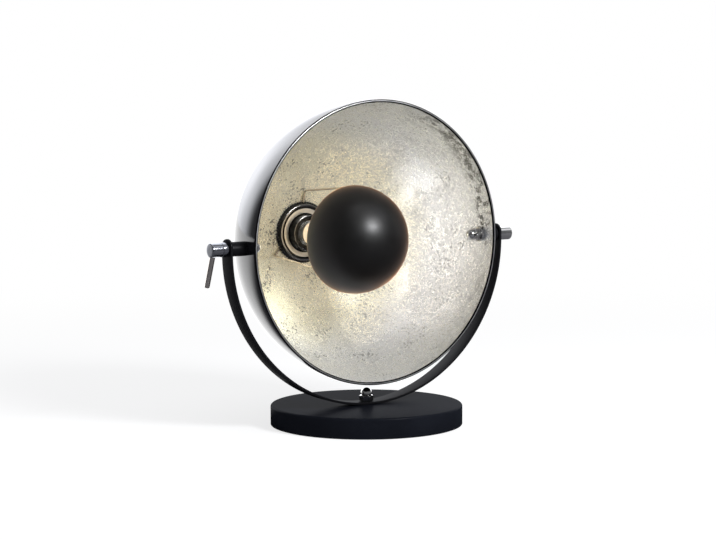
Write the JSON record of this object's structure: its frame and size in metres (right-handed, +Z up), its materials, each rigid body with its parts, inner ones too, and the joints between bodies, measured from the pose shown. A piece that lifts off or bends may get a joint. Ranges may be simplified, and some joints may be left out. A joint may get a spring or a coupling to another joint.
{
  "type": "table lamp",
  "caption": "Table lamp: bowl shade with a ball glare cap on wires, tilting in a strip yoke on a weighted disc base, locked by a side clamp lever.",
  "frame": {"origin": "centre of the base's underside, on the table", "axes": "+Z up, X along the shade's tilt axis with the clamp lever at -X, -Y out of the shade's mouth"},
  "size_m": [0.3733, 0.275, 0.345],
  "materials": {
    "black_lacquer": "glossy black lacquer outside, silver leaf with a dark patina inside",
    "black_satin": "satin black powder coat",
    "black_cap": "satin black",
    "polished_chrome": "polished",
    "steel_wire": "bright drawn wire",
    "zinc_steel": "zinc plated",
    "cement": "cast cement",
    "phenolic": "black moulded phenolic",
    "porcelain": "glazed",
    "brass": "bright",
    "opal_glass": "opal, lit warm white",
    "felt": "black felt",
    "soft_rubber": "matt black",
    "aluminium": "rolled thread"
  },
  "bodies": {
    "base": {"base_cover": "black_satin", "base_weight": "cement", "base_pad": "felt", "base_bolt": "zinc_steel", "base_washer": "zinc_steel", "yoke_nut": "polished_chrome"},
    "yoke": {"yoke_strip": "black_satin"},
    "shade": {"shade_shell": "black_lacquer", "pivot_sleeve_left": "black_satin", "pivot_sleeve_right": "black_satin", "saddle_washer_left": "polished_chrome", "saddle_washer_right": "polished_chrome", "dish_nut_left": "polished_chrome", "dish_nut_right": "polished_chrome", "pivot_stud_left": "zinc_steel", "pivot_stud_right": "zinc_steel", "end_cap": "polished_chrome", "lampholder_body": "phenolic", "holder_insert": "porcelain", "screw_shell": "brass", "centre_contact": "brass", "holder_rear_cap": "phenolic", "cord_gland": "soft_rubber", "shade_ring": "phenolic", "cap_frame": "steel_wire", "glare_cap": "black_cap", "bulb_glass": "opal_glass", "bulb_cap": "aluminium", "bulb_contact": "phenolic"},
    "clamp": {"clamp_collar": "polished_chrome", "clamp_knob": "polished_chrome", "clamp_lever": "polished_chrome"}
  },
  "joints": [
    {"name": "yoke_swivel", "type": "hinge", "parent": "base", "child": "yoke", "pos_m": [0, 0, 0.0235], "axis": [0, 0, 1], "continuous": true},
    {"name": "shade_tilt", "type": "hinge", "parent": "yoke", "child": "shade", "pos_m": [0, 0, 0.195], "axis": [1, 0, 0], "range_deg": [-75, 90]},
    {"name": "clamp_turn", "type": "hinge", "parent": "shade", "child": "clamp", "pos_m": [-0.1825, 0, 0.195], "axis": [-1, 0, 0], "range_deg": [0, 180]}
  ]
}
